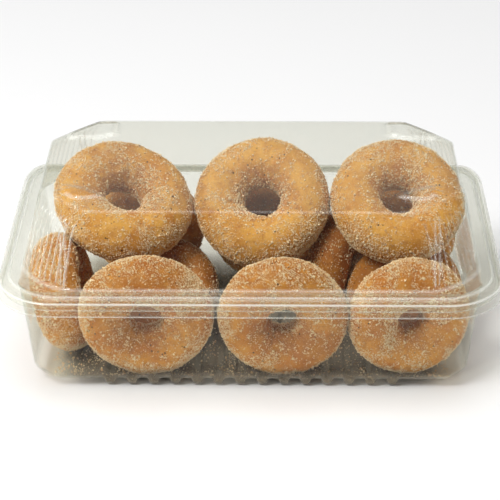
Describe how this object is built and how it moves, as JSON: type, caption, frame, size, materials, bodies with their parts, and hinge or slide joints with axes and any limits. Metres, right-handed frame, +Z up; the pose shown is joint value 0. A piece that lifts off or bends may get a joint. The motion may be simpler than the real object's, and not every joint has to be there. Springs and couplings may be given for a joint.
{
  "type": "box_of_doughnuts",
  "caption": "Clear hinged clamshell box with a ribbed tray, fluted lid corners and a skirted rim, holding sugar-coated ring doughnuts stacked in layers",
  "frame": {"origin": "middle of the rim's outline in plan, on the plane that the tray's floor ribs rest on", "axes": "+X along the width, left to right as seen from the front; +Y from the front to the hinge; +Z up"},
  "size_m": [0.262, 0.1628, 0.1026],
  "materials": {
    "tray_sheet": "clear thermoformed plastic sheet",
    "lid_sheet": "clear thermoformed plastic sheet",
    "doughnut_top_left_crust": "golden brown fried crust with sugar",
    "doughnut_top_middle_crust": "golden brown fried crust with sugar",
    "doughnut_top_right_crust": "golden brown fried crust with sugar",
    "doughnut_front_left_crust": "golden brown fried crust with sugar",
    "doughnut_front_middle_crust": "golden brown fried crust with sugar",
    "doughnut_front_right_crust": "golden brown fried crust with sugar",
    "doughnut_side_left_crust": "golden brown fried crust with sugar",
    "doughnut_inner_left_crust": "golden brown fried crust with sugar",
    "doughnut_inner_middle_crust": "golden brown fried crust with sugar",
    "doughnut_inner_right_crust": "golden brown fried crust with sugar",
    "doughnut_back_left_crust": "golden brown fried crust with sugar",
    "doughnut_back_middle_crust": "golden brown fried crust with sugar",
    "doughnut_back_right_crust": "golden brown fried crust with sugar"
  },
  "bodies": {
    "base": {"tray": "tray_sheet", "doughnut_top_left": "doughnut_top_left_crust", "doughnut_top_middle": "doughnut_top_middle_crust", "doughnut_top_right": "doughnut_top_right_crust", "doughnut_front_left": "doughnut_front_left_crust", "doughnut_front_middle": "doughnut_front_middle_crust", "doughnut_front_right": "doughnut_front_right_crust", "doughnut_side_left": "doughnut_side_left_crust", "doughnut_inner_left": "doughnut_inner_left_crust", "doughnut_inner_middle": "doughnut_inner_middle_crust", "doughnut_inner_right": "doughnut_inner_right_crust", "doughnut_back_left": "doughnut_back_left_crust", "doughnut_back_middle": "doughnut_back_middle_crust", "doughnut_back_right": "doughnut_back_right_crust"},
    "lid": {"lid": "lid_sheet"}
  },
  "joints": [
    {"name": "lid_fold", "type": "hinge", "parent": "base", "child": "lid", "pos_m": [0, 0.08155, 0.0605], "axis": [-1, 0, 0], "range_deg": [0, 180]}
  ]
}
